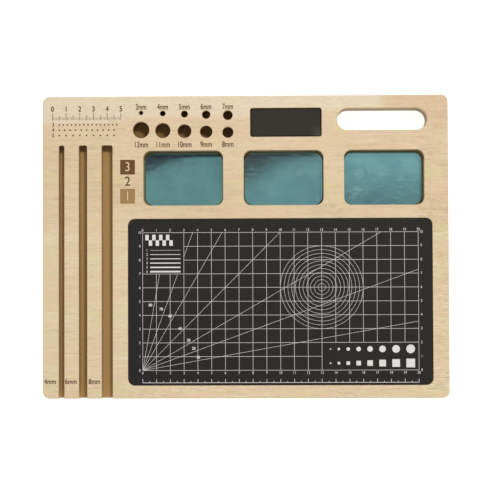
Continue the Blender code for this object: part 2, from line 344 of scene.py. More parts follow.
def back_plank_wood():
    """The back plank's faces, with a band of paler sapwood along its back edge."""
    finish = Finish("back_plank_wood", Specular_IOR_Level=0.35)
    colour, fibres, flecks = wood_grain(finish, *BACK_PLANK_TONES)
    x, y = finish.xyz(finish.place)[:2]
    wobble = finish.noise((0.02, 0.05, 0.0))
    edge = y - (x - LEFT / MM) * SAPWOOD_SLOPE - SAPWOOD_START / MM + (wobble - 0.5) * 16.0
    sapwood = edge.smooth(-2.5, 5.0) * (1.0 - x.smooth(94.0, 102.0))
    pale = finish.mix(fibres.smooth(0.3, 0.8), linear(216, 202, 176), linear(203, 187, 157))
    blush = 1.0 - (y + (wobble - 0.5) * 10.0 - 80.0).absolute().smooth(2.0, 8.0)
    corner = x.smooth(97.0, 106.0) * (y + (wobble - 0.5) * 16.0).smooth(84.0, 98.0)
    colour = finish.mix(blush * 0.15, colour, PINK_WOOD)
    colour = finish.mix(corner * 0.50, colour, linear(202, 170, 136))
    colour = finish.mix(sapwood * 0.85, colour, pale)
    return finish_wood(finish, colour, fibres, flecks)


def front_plank_wood():
    """The front plank's faces."""
    finish = Finish("front_plank_wood", Specular_IOR_Level=0.35)
    colour, fibres, flecks = wood_grain(finish, *FRONT_PLANK_TONES)
    return finish_wood(finish, colour, fibres, flecks)


def cut_wood(name, tones, burnt, wall_share, deepest, stop=None):
    """Wood inside a cut. It darkens with depth, down to deepest: cutter burn and painted
    shade of the recess together.

    A wall darkens only by wall_share of what the floor does. At a slot's back end, which
    stop gives, the floor carries a painted shadow of the end wall."""
    finish = Finish(name, Specular_IOR_Level=0.2)
    colour, fibres, flecks = wood_grain(finish, *tones)
    y, z = finish.xyz(finish.place)[1:]
    depth = TOP / MM - z
    share = finish.facing()[2].smooth(0.3, 0.8) * (1.0 - wall_share) + wall_share
    # Painted recess shade, together with the cutter's burn, darkens the deeper wood.
    burn_and_shade = depth.smooth(0.1, deepest / MM) * share * (0.80 + fibres * 0.35)
    colour = finish.mix(burn_and_shade, colour, burnt)
    if stop is not None:
        # A painted shadow of the end wall, cast on the slot floor near its back end.
        end_wall_shadow = y.smooth(stop / MM - 6.0, stop / MM - 2.0) * depth.smooth(1.0, 6.0)
        colour = finish.mix(end_wall_shadow * 0.55, colour, SLOT_END_SHADOW_TONE)
    return finish_wood(finish, colour, fibres, flecks)


def scorched_engraving(name, dark, light):
    """The floor and walls of a laser-burnt mark."""
    finish = Finish(name, Roughness=0.85, Specular_IOR_Level=0.1)
    soot = finish.noise((1.2, 3.0, 3.0), 3.0, 0.6)
    colour = finish.mix(soot.smooth(0.3, 0.75), dark, light)
    return finish.feed(Base_Color=colour, Normal=finish.bump(soot, 0.4, 0.05 * MM))


def mat_vinyl():
    """Fine-textured black cutting-mat vinyl with the faintest cuts and dust."""
    finish = Finish("mat_vinyl", Roughness=0.62, Specular_IOR_Level=0.22)
    grain = finish.noise((3.2, 3.2, 3.2), 2.0, 0.6)
    cloud = finish.noise((0.03, 0.04, 0.04), 3.0, 0.6)
    cuts = finish.noise((0.05, 1.6, 1.0), 3.0, 0.7, 1.5)
    scores = cuts.smooth(0.66, 0.74)
    colour = finish.mix(cloud, linear(22, 19, 15), linear(30, 26, 20))
    colour = finish.mix(scores * 0.10, colour, linear(80, 78, 75))
    return finish.feed(
        Base_Color=colour,
        Roughness=0.54 + grain * 0.14 + scores * 0.05,
        Normal=finish.bump(grain - scores * 0.5, 0.25, 0.04 * MM),
    )


def white_ink():
    """Screen-printed white ink, a little thin in places."""
    finish = Finish("white_ink", Roughness=0.55, Specular_IOR_Level=0.3)
    worn = finish.noise((0.9, 0.9, 0.9), 4.0, 0.7)
    colour = finish.mix(worn.smooth(0.35, 0.75), linear(217, 214, 210), linear(196, 192, 187))
    return finish.feed(Base_Color=colour, Roughness=0.5 + worn * 0.15)


def ferrite():
    """Unglazed dark ferrite, speckled, with a painted sheen paler at its front right corner."""
    finish = Finish("ferrite", Roughness=0.7, Specular_IOR_Level=0.3)
    speck = finish.noise((2.4, 2.4, 2.4), 4.0, 0.7)
    cloud = finish.noise((0.07, 0.12, 0.12), 3.0, 0.6)
    low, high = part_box("magnet_block")
    x, y = finish.xyz(finish.place)[:2]
    # A painted sheen pales the front right corner.
    painted_sheen = (x - (high.x / MM - 9.0)).smooth(0.0, 9.0) * ((low.y / MM + 9.0) - y).smooth(0.0, 9.0)
    colour = finish.mix(cloud, linear(29, 25, 20), linear(42, 36, 29))
    colour = finish.mix(speck.smooth(0.55, 0.75) * 0.25, colour, linear(76, 71, 64))
    colour = finish.mix(painted_sheen * (0.35 + speck * 0.4), colour, linear(84, 81, 74))
    return finish.feed(
        Base_Color=colour,
        Roughness=0.6 + speck * 0.2,
        Normal=finish.bump(speck, 0.35, 0.08 * MM),
    )


def teal_film(name, seed, haze, bubbles):
    """Teal protective film on a bright plate: a tinted mirror with soft clouds and scuffs.

    It is paler round its bubbles and flat pale patches, each a place on the top face and a
    radius. Round a bubble the paleness is a painted highlight."""
    finish = Finish(name, Metallic=0.85, Specular_IOR_Level=0.5)
    x, y = finish.xyz(finish.place)[:2]
    shift = (seed * 37.0, seed * 11.0, 0.0)
    finish.place = finish.vector_math("ADD", finish.place, shift)
    cloud = finish.noise((0.06, 0.08, 0.05), 3.0, 0.55)
    smear = finish.noise((0.10, 0.30, 0.2), 3.0, 0.6, 0.6)
    hair = finish.noise((0.05, 2.6, 1.0), 2.0, 0.6, 0.4)
    colour = finish.mix(cloud.smooth(0.3, 0.7), linear(104, 152, 157), linear(115, 165, 167))
    colour = finish.mix(smear.smooth(0.5, 0.8) * 0.40, colour, linear(130, 173, 175))
    # A painted highlight round each bubble, and the same paleness over each flat patch.
    for bubble_x, bubble_y, radius in bubbles:
        across = x - bubble_x / MM
        along = y - bubble_y / MM
        reach = (across * across + along * along) ** 0.5 * (MM / radius)
        ring = 1.0 - (reach - 0.75).absolute().smooth(0.05, 0.40)
        colour = finish.mix(ring * 0.10 + (1.0 - reach.smooth(0.3, 1.15)) * 0.17, colour, PALE_FILM)
    scratched = hair.smooth(0.56, 0.75)
    return finish.feed(
        Base_Color=colour,
        Roughness=haze + smear.smooth(0.45, 0.8) * 0.08 + scratched * 0.04,
        Normal=finish.bump(cloud * 2.0 + smear * 0.3, 0.04, 0.20 * MM),
    )


def bright_steel():
    """Cold-rolled bright sheet with fine lengthwise lines."""
    finish = Finish("bright_steel", Metallic=1.0)
    lines = finish.noise((0.06, 6.0, 6.0), 3.0, 0.6)
    colour = finish.mix(lines, linear(196, 198, 200), linear(222, 223, 224))
    return finish.feed(
        Base_Color=colour, Roughness=0.16 + lines * 0.12, Normal=finish.bump(lines, 0.1, 0.02 * MM)
    )


def adhesive_tape():
    """White double-sided tape, faintly fibrous."""
    finish = Finish("adhesive_tape", Roughness=0.6)
    fibre = finish.noise((1.4, 1.4, 1.4), 4.0, 0.7, 1.0)
    colour = finish.mix(fibre, linear(226, 224, 218), linear(240, 239, 234))
    return finish.feed(Base_Color=colour, Normal=finish.bump(fibre, 0.2, 0.03 * MM))


# ---- Geometry Nodes trees ----


class Grower(Graph):
    """A Geometry Nodes tree with named inputs that ends in Realize Instances and Set Material.

    The usual values stand in for inputs that a piece doesn't give."""

    def __init__(self, name, usual=None, **inputs):
        super().__init__(bpy.data.node_groups.new(name, "GeometryNodeTree"))
        self.usual = usual or {}
        self.identifiers = {}
        add = self.tree.interface.new_socket
        for label, kind in {**inputs, "Material": "Material"}.items():
            item = add(label.replace("_", " "), in_out="INPUT", socket_type="NodeSocket" + kind)
            self.identifiers[label] = item.identifier
        add("Geometry", in_out="OUTPUT", socket_type="NodeSocketGeometry")
        self.entry = self.tree.nodes.new("NodeGroupInput")

    def input(self, label):
        return Wire(self, self.entry.outputs[label.replace("_", " ")])

    def joined(self, kind, socket, *wires):
        """A node with one many-linked input, which takes the wires in this order."""
        node = self.tree.nodes.new(kind)
        for wire in reversed(wires):
            self.link(wire, node, socket)
        return Wire(self, node.outputs[0])

    def scaled(self, vector, amount):
        sockets = {"Vector": vector, "Scale": amount}
        return self.node("ShaderNodeVectorMath", sockets, operation="SCALE")

    def rectangle(self, width, height):
        """The outline of a rectangle, whose sizes are two of the inputs."""
        sockets = {"Width": self.input(width), "Height": self.input(height)}
        return self.node("GeometryNodeCurvePrimitiveQuadrilateral", sockets)

    def close(self, geometry):
        """Ends the tree."""
        whole = self.node("GeometryNodeRealizeInstances", {"Geometry": geometry})
        sockets = {"Geometry": whole, "Material": self.input("Material")}
        dressed = self.node("GeometryNodeSetMaterial", sockets)
        leave = self.tree.nodes.new("NodeGroupOutput")
        self.link(dressed, leave, "Geometry")

    def grow(self, name, carrier=None, **values):
        """Runs the tree with these values and returns the plain mesh that it makes."""
        thing = bpy.data.objects.new(name, carrier or bpy.data.meshes.new(name))
        bpy.context.scene.collection.objects.link(thing)
        modifier = thing.modifiers.new("Growth", "NODES")
        modifier.node_group = self.tree
        for label, value in {**self.usual, **values}.items():
            modifier[self.identifiers[label]] = value
        bpy.context.view_layer.update()
        graph = bpy.context.evaluated_depsgraph_get()
        mesh = bpy.data.meshes.new_from_object(thing.evaluated_get(graph))
        bpy.data.objects.remove(thing)
        mesh.materials.clear()
        mesh.materials.append(values["Material"])
        return mesh


def solid_from_flat(tree, flat, thickness):
    """A flat face pattern given a thickness, closed above and below."""
    rise = tree.vector(z=thickness)
    sockets = {"Mesh": flat, "Offset": rise, "Individual": False}
    raised = tree.node("GeometryNodeExtrudeMesh", sockets)
    base = tree.node("GeometryNodeFlipFaces", {"Mesh": flat})
    both = tree.joined("GeometryNodeJoinGeometry", "Geometry", raised, base)
    return tree.node("GeometryNodeMergeByDistance", {"Geometry": both, "Distance": SEAM})


def bar_row_tree():
    """A row of equal bars at an even pitch: grid lines, ticks and rules."""
    usual = {"Count": 1, "Step": NO_STEP}
    tree = Grower("bar_row", usual, Count="Int", First="Vector", Step="Vector", Size="Vector")
    line = {"Count": tree.input("Count"), "Start Location": tree.input("First")}
    points = tree.node("GeometryNodeMeshLine", {**line, "Offset": tree.input("Step")})
    bar = tree.node("GeometryNodeMeshCube", {"Size": tree.input("Size")})
    tree.close(tree.node("GeometryNodeInstanceOnPoints", {"Points": points, "Instance": bar}))
    return tree


def ring_set_tree():
    """Concentric printed rings of one line width."""
    lengths = dict.fromkeys(("First_Radius", "Radius_Step", "Line_Width", "Thickness"), "Float")
    tree = Grower("ring_set", None, Count="Int", Centre="Vector", **lengths)
    line = {"Count": tree.input("Count"), "Start Location": tree.input("Centre")}
    points = tree.node("GeometryNodeMeshLine", {**line, "Offset": NO_STEP})
    index = tree.node("GeometryNodeInputIndex")
    radius = tree.input("First_Radius") + index * tree.input("Radius_Step")
    circle = tree.node("GeometryNodeCurvePrimitiveCircle", {"Resolution": 96, "Radius": 1.0})
    sockets = {"Points": points, "Instance": circle, "Scale": tree.vector(radius, radius, 1.0)}
    rings = tree.node("GeometryNodeInstanceOnPoints", sockets)
    paths = tree.node("GeometryNodeRealizeInstances", {"Geometry": rings})
    profile = tree.rectangle("Line_Width", "Thickness")
    tree.close(tree.node("GeometryNodeCurveToMesh", {"Curve": paths, "Profile Curve": profile}))
    return tree


def drawn_line_tree():
    """A flat line of ink along every edge of the mesh that carries the tree."""
    tree = Grower("drawn_line", None, Geometry="Geometry", Line_Width="Float", Thickness="Float")
    curves = tree.node("GeometryNodeMeshToCurve", {"Mesh": tree.input("Geometry")})
    upright = tree.node("GeometryNodeSetCurveNormal", {"Curve": curves}, mode="Z_UP")
    profile = tree.rectangle("Line_Width", "Thickness")
    sockets = {"Curve": upright, "Profile Curve": profile, "Fill Caps": True}
    tree.close(tree.node("GeometryNodeCurveToMesh", sockets))
    return tree


def number_row_tree(plated=False):
    """A row of plain numbers that count up or down, each with the same ending.

    When plated, each number is an opening in a solid square plate."""
    lengths = dict.fromkeys(("Size", "Narrowing", "Boldness", "Thickness", "Plate"), "Float")
    counts = dict.fromkeys(("Count", "First_Value", "Value_Step"), "Int")
    usual = {"Count": 1, "Value_Step": 0, "Ending": "", "Step": NO_STEP}
    places = {"Ending": "String", "First": "Vector", "Step": "Vector"}
    name = "number_plate_row" if plated else "number_row"
    tree = Grower(name, usual, **counts, **places, **lengths)
    entry = tree.tree.nodes.new("GeometryNodeRepeatInput")
    leave = tree.tree.nodes.new("GeometryNodeRepeatOutput")
    entry.pair_with_output(leave)
    tree.link(tree.input("Count"), entry, "Iterations")
    turn = Wire(tree, entry.outputs["Iteration"])
    value = tree.input("First_Value") + turn * tree.input("Value_Step")
    number = tree.node("FunctionNodeValueToString", {"Value": value, "Decimals": 0})
    words = tree.joined("GeometryNodeStringJoin", "Strings", number, tree.input("Ending"))
    sockets = {"String": words, "Size": tree.input("Size")}
    middle = {"align_x": "CENTER", "align_y": "MIDDLE"}
    text = tree.node("GeometryNodeStringToCurves", sockets, **middle)
    narrow = tree.vector(tree.input("Narrowing"), 1.0, 1.0)
    squeezed = tree.node("GeometryNodeTransform", {"Geometry": text, "Scale": narrow})
    thin = tree.node("GeometryNodeRealizeInstances", {"Geometry": squeezed})
    fine = tree.node("GeometryNodeResampleCurve", {"Curve": thin}, mode="EVALUATED")
    tangent = tree.node("GeometryNodeInputTangent")
    outward = tree.vector_math("CROSS_PRODUCT", tangent, (0.0, 0.0, 1.0))
    growth = tree.scaled(outward, tree.input("Boldness"))
    outlines = tree.node("GeometryNodeSetPosition", {"Geometry": fine, "Offset": growth})
    if plated:
        square = tree.rectangle("Plate", "Plate")
        outlines = tree.joined("GeometryNodeJoinGeometry", "Geometry", outlines, square)
    flat = tree.node("GeometryNodeFillCurve", {"Curve": outlines}, mode="TRIANGLES")
    where = tree.vector_math("ADD", tree.input("First"), tree.scaled(tree.input("Step"), turn))
    moved = tree.node("GeometryNodeTransform", {"Geometry": flat, "Translation": where})
    before = Wire(tree, entry.outputs["Geometry"])
    gathered = tree.joined("GeometryNodeJoinGeometry", "Geometry", before, moved)
    tree.link(gathered, leave, "Geometry")
    row = Wire(tree, leave.outputs["Geometry"])
    tree.close(solid_from_flat(tree, row, tree.input("Thickness")))
    return tree


# ---- Shapes from rings ----


def outline(centre, length, width, radius, height, steps):
    """The points of a rounded rectangle at one height, anticlockwise from above."""
    points = []
    for corner, (side_x, side_y) in enumerate(((1, 1), (-1, 1), (-1, -1), (1, -1))):
        middle_x = centre[0] + side_x * (length / 2 - radius)
        middle_y = centre[1] + side_y * (width / 2 - radius)
        for step in range(steps + 1):
            angle = (corner + step / steps) * pi / 2
            points.append((middle_x + radius * cos(angle), middle_y + radius * sin(angle), height))
    return points


def footprint(low, high, spare=0.0):
    """The centre, length and width of what lies between two corners, with some spare all round."""
    centre = ((low.x + high.x) / 2, (low.y + high.y) / 2)
    return centre, high.x - low.x + 2 * spare, high.y - low.y + 2 * spare


def quarter(radius, steps=4):
    """How far a quarter-round edge falls away sideways and rises, from its foot to its top."""
    angles = [step / steps * pi / 2 for step in range(steps + 1)]
    return [(radius * (1 - cos(angle)), radius * sin(angle)) for angle in angles]


def block_profile(bottom, top, ease):
    """The insets and heights of a block whose top and bottom edges are rounded."""
    below = [(away, bottom + ease - rise) for away, rise in reversed(quarter(ease))]
    above = [(away, top - ease + rise) for away, rise in quarter(ease)]
    return below + above


def pocket_profile(floor, ease):
    """The insets and heights of a cutter that leaves a pocket with an eased rim."""
    rim = [(-away, TOP - ease + rise) for away, rise in quarter(ease)]
    return [(0.0, floor)] + rim + [(-ease, TOP + CUTTER_OVERRUN)]


def opening_profile(ease):
    """The insets and heights of a cutter that goes right through and eases both rims."""
    lower = [(-away, UNDERSIDE + ease - rise) for away, rise in reversed(quarter(ease))]
    return [(-ease, UNDERSIDE - CUTTER_OVERRUN)] + lower + pocket_profile(TOP, ease)[1:]


def ring_solid(name, centre, length, width, radius, profile, material, steps=10):
    """A closed solid whose outline is a rounded rectangle at each inset and height."""
    mesh = bmesh.new()
    layers = []
    for inset, height in profile:
        ring = outline(
            centre, length - 2 * inset, width - 2 * inset, max(radius - inset, 0.0), height, steps
        )
        layers.append([mesh.verts.new(point) for point in ring])
    for low, high in zip(layers, layers[1:]):
        for n in range(len(low)):
            mesh.faces.new((low[n - 1], low[n], high[n], high[n - 1]))
    mesh.faces.new(reversed(layers[0]))
    mesh.faces.new(layers[-1])
    bmesh.ops.remove_doubles(mesh, verts=mesh.verts, dist=WELD)
    return piece_of(name, mesh, material)


def piece_from(name, data):
    """An object at the origin that holds this mesh."""
    piece = bpy.data.objects.new(name, data)
    bpy.context.scene.collection.objects.link(piece)
    return piece


def piece_of(name, mesh, material):
    """A piece of this material, from a bmesh that is then done with."""
    data = bpy.data.meshes.new(name)
    mesh.to_mesh(data)
    mesh.free()
    data.materials.append(material)
    return piece_from(name, data)


def flat_piece(name, corners, material):
    """A single flat face between these corners."""
    data = bpy.data.meshes.new(name)
    data.from_pydata(corners, [], [tuple(range(len(corners)))])
    data.materials.append(material)
    return piece_from(name, data)


def settle(piece):
    """Applies a piece's modifiers."""
    graph = bpy.context.evaluated_depsgraph_get()
    finished = bpy.data.meshes.new_from_object(piece.evaluated_get(graph))
    piece.modifiers.clear()
    piece.data = finished


def soften(piece):
    """Shades a piece smooth, except across edges that turn more than SHARP_OVER."""
    piece.data.shade_smooth()
    piece.data.set_sharp_from_angle(angle=radians(SHARP_OVER))
    modifier = piece.modifiers.new("Flats", "WEIGHTED_NORMAL")
    modifier.keep_sharp = True
    settle(piece)


def joined(name, pieces):
    """One piece from several, all of one material."""
    mesh = bmesh.new()
    for piece in pieces:
        mesh.from_mesh(piece.data)
        material = piece.data.materials[0]
        bpy.data.objects.remove(piece)
    return piece_of(name, mesh, material)


# ---- The wooden panel ----


def tool_slot_cutters(materials):
    """The three long slots, which run out through the front edge."""
    cutters = []
    left = LEFT + SLOT_EDGE_LAND
    length = SLOT_LENGTH + CUTTER_OVERRUN
    profile = pocket_profile(TOP - SLOT_DEPTH, POCKET_EASE)
    for width, material in zip(SLOT_WIDTHS, materials):
        centre = (left + width / 2, FRONT - CUTTER_OVERRUN + length / 2)
        cutters.append(
            ring_solid("tool_slot", centre, width, length, SLOT_END_RADIUS, profile, material, 6)
        )
        left += width + SLOT_GAP
    return cutters


def tool_hole_cutters(material):
    """The two rows of graded holes."""
    cutters = []
    profile = pocket_profile(TOP - HOLE_DEPTH, POCKET_EASE)
    for column, (small, large) in enumerate(zip(BACK_ROW_DIAMETERS, FRONT_ROW_DIAMETERS)):
        x = HOLE_FIRST_X + column * HOLE_PITCH
        places = ((small, HOLE_BACK_LINE - small / 2), (large, HOLE_FRONT_LINE + large / 2))
        for diameter, y in places:
            cutters.append(
                ring_solid("tool_hole", (x, y), diameter, diameter, diameter / 2, profile, material)
            )
    return cutters


def recess_cutter(name, node, clearance, radius, material):
    """The pocket around a frame node, whose floor is a tape's thickness below it."""
    low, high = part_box(node)
    profile = pocket_profile(low.z - TAPE_THICKNESS, POCKET_EASE)
    return ring_solid(name, *footprint(low, high, clearance), radius, profile, material)


def pocket_cutters(material):
    """The mat's recess, the magnet's pocket, the carrying slot and the wells."""
    outer = (HANDLE_LENGTH, HANDLE_WIDTH, HANDLE_WIDTH / 2)
    through = opening_profile(HANDLE_EASE)
    magnet = (MAGNET_CLEARANCE, MAGNET_POCKET_RADIUS)
    cutters = [
        recess_cutter("mat_recess", "cutting_mat", MAT_CLEARANCE, MAT_RECESS_RADIUS, material),
        recess_cutter("magnet_pocket", "magnet_block", *magnet, material),
        ring_solid("carrying_slot", HANDLE_CENTRE, *outer, through, material, 16),
    ]
    for name in WELL_NAMES:
        plate = "well_plate_" + name
        cutters.append(recess_cutter("well_" + name, plate, WELL_CLEARANCE, WELL_RADIUS, material))
    return cutters


def engraved_bars(tree, name, material, count, first, step, size):
    """Burnt bars as a cutter. The first bar's centre and the step are on the top face."""
    place = {"First": (*first, TOP), "Step": (*step, 0.0), "Size": (*size, 2 * ENGRAVING_DEPTH)}
    return piece_from(name, tree.grow(name, Count=count, Material=material, **place))


def engraved_numbers(tree, name, material, first, step=(0.0, 0.0), **values):
    """Burnt numbers as a cutter."""
    values |= {"First": (*first, TOP - ENGRAVING_DEPTH), "Step": (*step, 0.0)}
    values |= {"Thickness": 2 * ENGRAVING_DEPTH, "Material": material}
    return piece_from(name, tree.grow(name, **values))


def size_label_cutters(numbers, material):
    """The sizes beside the holes and the tool slots."""
    style = {"Ending": "mm", "Size": 6.0 * MM, "Boldness": 0.11 * MM}
    style["Count"] = len(BACK_ROW_DIAMETERS)
    back = ("back_row_sizes", HOLE_BACK_LINE + 2.6 * MM, 3, 1, 0.66)
    front = ("front_row_sizes", HOLE_FRONT_LINE - 4.9 * MM, 12, -1, 0.70)
    labels = []
    for name, y, first, step, narrowing in (back, front):
        value = {"First_Value": first, "Value_Step": step, "Narrowing": narrowing}
        place = (HOLE_FIRST_X, y)
        pitch = (HOLE_PITCH, 0.0)
        labels.append(engraved_numbers(numbers, name, material, place, pitch, **value, **style))
    left = LEFT + SLOT_EDGE_LAND
    style = {"Ending": "mm", "Size": 5.2 * MM, "Narrowing": 0.82, "Boldness": 0.12 * MM}
    for index, width in enumerate(SLOT_WIDTHS):
        place = (left - (6.3 - 0.5 * index) * MM, FRONT + 12.3 * MM)
        value = round(width / MM)
        label = engraved_numbers(numbers, "slot_size", material, place, First_Value=value, **style)
        labels.append(label)
        left += width + SLOT_GAP
    return labels


def rule_cutters(bars, numbers, material):
    """A plain 50 mm rule and three rows of stitch-pitch dots, in the back left corner."""
    left = LEFT + 7.2 * MM
    foot = BACK - 17.4 * MM
    cutters = []
    ticks = (("mm", 1, 2.2, 0.22), ("half_cm", 5, 3.4, 0.42), ("cm", 10, 5.2, 0.42))
    for name, every, length, width in ticks:
        row = (50 // every + 1, (left, foot + length / 2 * MM), (every * MM, 0.0))
        size = (width * MM, length * MM)
        cutters.append(engraved_bars(bars, "rule_" + name, material, *row, size))
    style = {"Size": 5.4 * MM, "Narrowing": 0.8, "Boldness": 0.16 * MM}
    style |= {"Count": 6, "First_Value": 0, "Value_Step": 1}
    place = (left, foot + 8.0 * MM)
    cutters.append(engraved_numbers(numbers, "rule_numbers", material, place, (CM, 0.0), **style))
    style = {"Size": 3.8 * MM, "Narrowing": 0.8, "Boldness": 0.13 * MM}
    dot = (1.1 * MM, 1.1 * MM)
    for row, pitch in enumerate((3, 4, 5)):
        y = foot - (3.4 + 3.9 * row) * MM
        dots = (45 // pitch, (left + 5.0 * MM, y), (pitch * MM, 0.0), dot)
        cutters.append(engraved_bars(bars, "stitch_pitch", material, *dots))
        name = "stitch_pitch_number"
        place = (left + 0.6 * MM, y)
        cutters.append(
            engraved_numbers(numbers, name, material, place, First_Value=pitch, **style)
        )
    return cutters


def scale_bar_cutters(numbers, plates, dark, light):
    """A plain upright bar of three cells, with a number in each."""
    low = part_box("well_plate_left")[0]
    style = {"Size": 9.5 * MM, "Narrowing": 0.9, "Plate": 10.7 * MM}
    cells = ((plates, light, 0.0), (numbers, dark, 0.12 * MM), (plates, dark, 0.0))
    cutters = []
    for cell, (tree, material, boldness) in enumerate(cells):
        place = (low.x - 11.8 * MM, low.y + 17.2 * MM + (cell - 1) * 10.6 * MM)
        value = {"First_Value": cell + 1, "Boldness": boldness}
        cutters.append(
            engraved_numbers(tree, "scale_bar_cell", material, place, **value, **style)
        )
    return cutters


def plank(name, keep_back, face_wood, cutters):
    """One of the two glued planks, with every pocket, hole and mark cut into it."""
    outer = (RIGHT - LEFT, BACK - FRONT, CORNER_RADIUS)
    centre = ((LEFT + RIGHT) / 2, (FRONT + BACK) / 2)
    profile = block_profile(UNDERSIDE, TOP, RIM_ROUND)
    piece = ring_solid(name + "_board", centre, *outer, profile, face_wood, 12)
    mesh = bmesh.new()
    mesh.from_mesh(piece.data)
    cut = bmesh.ops.bisect_plane(
        mesh,
        geom=[*mesh.verts, *mesh.edges, *mesh.faces],
        plane_co=(0.0, GLUE_LINE, 0.0),
        plane_no=(0.0, -1.0 if keep_back else 1.0, 0.0),
        clear_outer=True,
    )
    rim = [edge for edge in cut["geom_cut"] if isinstance(edge, bmesh.types.BMEdge)]
    bmesh.ops.contextual_create(mesh, geom=rim)
    mesh.edges.ensure_lookup_table()
    long_edges = [edge for edge in rim if edge.is_valid and edge.calc_length() > 0.1]
    bmesh.ops.bevel(mesh, geom=long_edges, offset=GLUE_GROOVE, segments=1, affect="EDGES")
    bmesh.ops.recalc_face_normals(mesh, faces=mesh.faces)
    mesh.to_mesh(piece.data)
    mesh.free()
    modifier = piece.modifiers.new("Cuts", "BOOLEAN")
    modifier.operand_type = "COLLECTION"
    modifier.collection = cutters
    modifier.solver = "EXACT"
    modifier.material_mode = "TRANSFER"
    settle(piece)
    soften(piece)
    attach(piece, "root")
    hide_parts(name)


def build_panel():
    """Both planks, with the marks and hollows that are cut into them."""
    bars = bar_row_tree()
    numbers = number_row_tree()
    plates = number_row_tree(plated=True)
    burnt = scorched_engraving("burnt_mark", linear(84, 57, 31), linear(122, 90, 54))
    singed = scorched_engraving("singed_mark", linear(140, 108, 68), linear(170, 138, 94))
    marks = size_label_cutters(numbers, burnt) + rule_cutters(bars, numbers, burnt)
    marks += scale_bar_cutters(numbers, plates, burnt, singed)
    tones = BACK_PLANK_TONES
    end = FRONT + SLOT_LENGTH
    # Each cut's tone darkens with depth: cutter burn and painted shade together.
    slot_wood = cut_wood("slot_wood", tones, SLOT_BURN_AND_SHADE, 0.55, SLOT_DEPTH, end)
    clean_wood = cut_wood("narrow_slot_wood", tones, PALE_SLOT_BURN_AND_SHADE, 0.3, SLOT_DEPTH, end)
    hole_wood = cut_wood("hole_wood", tones, HOLE_BURN_AND_SHADE, 1.0, 0.5 * HOLE_DEPTH)
    pocket_wood = cut_wood("pocket_wood", tones, POCKET_SHADE_TONE, 0.72, 7.0 * MM)
    cutters = bpy.data.collections.new("cutters")
    cuts = tool_slot_cutters((clean_wood, slot_wood, slot_wood))
    cuts += tool_hole_cutters(hole_wood) + pocket_cutters(pocket_wood)
    for piece in cuts + marks:
        cutters.objects.link(piece)
    plank("back_plank", True, back_plank_wood(), cutters)
    plank("front_plank", False, front_plank_wood(), cutters)
    for piece in cuts + marks:
        bpy.data.objects.remove(piece)


# ---- The mat and its print ----


def build_mat(vinyl):
    """The mat, with softened edges."""
    radius = MAT_RECESS_RADIUS - MAT_CLEARANCE
    profile = block_profile(MAT_LOW.z, MAT_HIGH.z, MAT_EDGE)
    mat = ring_solid("mat_sheet", *footprint(MAT_LOW, MAT_HIGH), radius, profile, vinyl)
    soften(mat)
    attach(mat, "root")
    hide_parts("cutting_mat")


def printed(name, pieces):
    """Ink pieces joined into one that lies on the mat."""
    print_piece = joined(name, pieces)
    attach(print_piece, "root")


def on_grid(column, row):
    """A place on the mat's top face, in grid squares from the grid's front left corner."""
    return (GRID_LEFT + column * CM, GRID_FRONT + row * CM, MAT_HIGH.z)


def printed_bars(bars, name, ink, first, size, **values):
    """Bars of ink. The first bar's centre is on the mat's top face."""
    return piece_from(name, bars.grow(name, First=first, Size=size, Material=ink, **values))


def printed_numbers(numbers, name, ink, first, **values):
    """Numbers in ink. The first number's middle is on the mat's top face."""
    values |= {"First": first, "Thickness": NUMBER_INK, "Material": ink}
    return piece_from(name, numbers.grow(name, **values))


def grid_lines(bars, ink):
    """The centimetre grid, which leaves out the two gauges' places."""
    gauge = GAUGE_COLUMN
    top_row = GRID_ROWS - KEY_ROWS
    columns = (
        (0, 0, 0, GRID_ROWS),
        (1, KEY_COLUMNS - 1, 0, top_row),
        (KEY_COLUMNS, gauge, 0, GRID_ROWS),
        (gauge + 1, GRID_COLUMNS - 1, GAUGE_ROWS, GRID_ROWS),
        (GRID_COLUMNS, GRID_COLUMNS, 0, GRID_ROWS),
    )
    rows = (
        (0, 0, 0, GRID_COLUMNS),
        (1, GAUGE_ROWS - 1, 0, gauge),
        (GAUGE_ROWS, top_row, 0, GRID_COLUMNS),
        (top_row + 1, GRID_ROWS - 1, KEY_COLUMNS, GRID_COLUMNS),
        (GRID_ROWS, GRID_ROWS, 0, GRID_COLUMNS),
    )
    pieces = []
    for first, last, low, high in columns:
        middle = on_grid(first, (low + high) / 2)
        size = (GRID_LINE, (high - low) * CM + GRID_LINE, 2 * COLUMN_INK)
        row = {"Count": last - first + 1, "Step": NEXT_COLUMN}
        pieces.append(printed_bars(bars, "grid_columns", ink, middle, size, **row))
    for first, last, left, right in rows:
        middle = on_grid((left + right) / 2, first)
        size = ((right - left) * CM + GRID_LINE, GRID_LINE, 2 * ROW_INK)
        row = {"Count": last - first + 1, "Step": NEXT_ROW}
        pieces.append(printed_bars(bars, "grid_rows", ink, middle, size, **row))
    printed("mat_grid", pieces)


def edge_rule(bars, ink):
    """The long rule along the mat's front edge."""
    y = -0.89
    line = 0.35 * MM
    size = (GRID_COLUMNS * CM, line, 2 * ROW_INK)
    pieces = [printed_bars(bars, "rule_line", ink, on_grid(GRID_COLUMNS / 2, y), size)]
    for start, count, length in ((0.0, GRID_COLUMNS + 1, 2.6 * MM), (0.5, GRID_COLUMNS, 1.2 * MM)):
        first = on_grid(start, y + length / 2 / CM)
        size = (line, length, 2 * COLUMN_INK)
        row = {"Count": count, "Step": NEXT_COLUMN}
        pieces.append(printed_bars(bars, "rule_ticks", ink, first, size, **row))
    printed("mat_rule", pieces)


